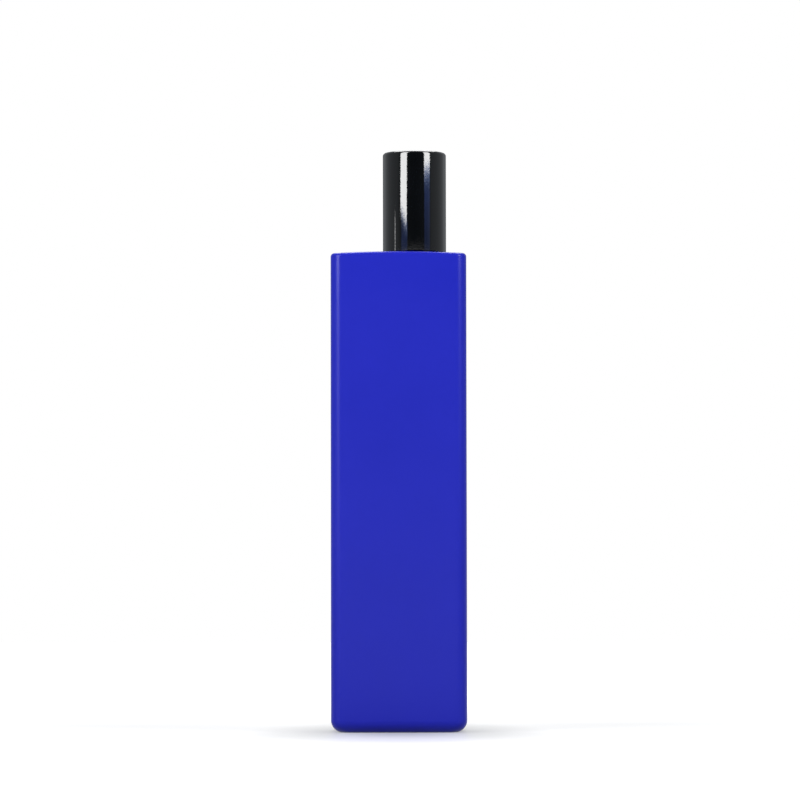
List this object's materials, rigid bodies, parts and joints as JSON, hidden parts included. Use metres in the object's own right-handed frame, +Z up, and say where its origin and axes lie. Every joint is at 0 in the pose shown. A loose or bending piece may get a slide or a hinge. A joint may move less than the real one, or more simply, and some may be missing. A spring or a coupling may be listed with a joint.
{
  "type": "fine mist spray bottle",
  "caption": "Tall square glass spray bottle in satin blue lacquer, with an off-centre crimped mist pump under a glossy black pull-off cap.",
  "frame": {"origin": "middle of the base, on the surface the bottle stands on", "axes": "+Z up along the bottle's height, front face towards -Y, neck and cap shifted towards +X"},
  "size_m": [0.035, 0.035, 0.1508],
  "materials": {
    "blue_lacquered_glass": "opaque satin lacquer sprayed on glass",
    "gasket_rubber": "matte",
    "ferrule_aluminium": "bright rolled sheet",
    "natural_pump_plastic": "moulded, uncoloured",
    "dip_tube_plastic": "extruded, translucent",
    "spring_steel": "drawn wire",
    "black_button_plastic": "semi-gloss moulded",
    "black_liner_plastic": "moulded",
    "black_cap_lacquer": "high gloss"
  },
  "bodies": {
    "bottle": {"glass_bottle": "blue_lacquered_glass", "neck_gasket": "gasket_rubber", "crimp_ferrule": "ferrule_aluminium", "pump_housing": "natural_pump_plastic", "stem_retainer": "natural_pump_plastic", "dip_tube": "dip_tube_plastic", "return_spring": "spring_steel"},
    "pump_core": {"stem": "natural_pump_plastic", "valve_rod": "natural_pump_plastic", "outlet_spring": "spring_steel"},
    "piston": {"piston": "natural_pump_plastic"},
    "button": {"spray_button": "black_button_plastic", "nozzle_insert": "black_button_plastic"},
    "inlet_ball": {"inlet_ball": "spring_steel"},
    "cap": {"cap_shell": "black_cap_lacquer", "cap_liner": "black_liner_plastic"}
  },
  "joints": [
    {"name": "cap_pull_off", "type": "slide", "parent": "bottle", "child": "cap", "axis": [0, 0, 1], "range_m": [0, 0.04]},
    {"name": "pump_stroke", "type": "slide", "parent": "bottle", "child": "pump_core", "axis": [0, 0, -1], "range_m": [0, 0.0045], "stiffness_N_per_m": 900, "springref_m": -0.004, "deforming": ["return_spring"]},
    {"name": "button_swivel", "type": "hinge", "parent": "pump_core", "child": "button", "pos_m": [0.0042, 0, 0.14], "axis": [0, 0, 1], "continuous": true},
    {"name": "outlet_valve", "type": "slide", "parent": "pump_core", "child": "piston", "axis": [0, 0, 1], "range_m": [0, 0.0004], "stiffness_N_per_m": 1500, "springref_m": -0.002, "deforming": ["outlet_spring"]},
    {"name": "inlet_valve", "type": "slide", "parent": "bottle", "child": "inlet_ball", "axis": [0, 0, 1], "range_m": [0, 0.0009]}
  ]
}
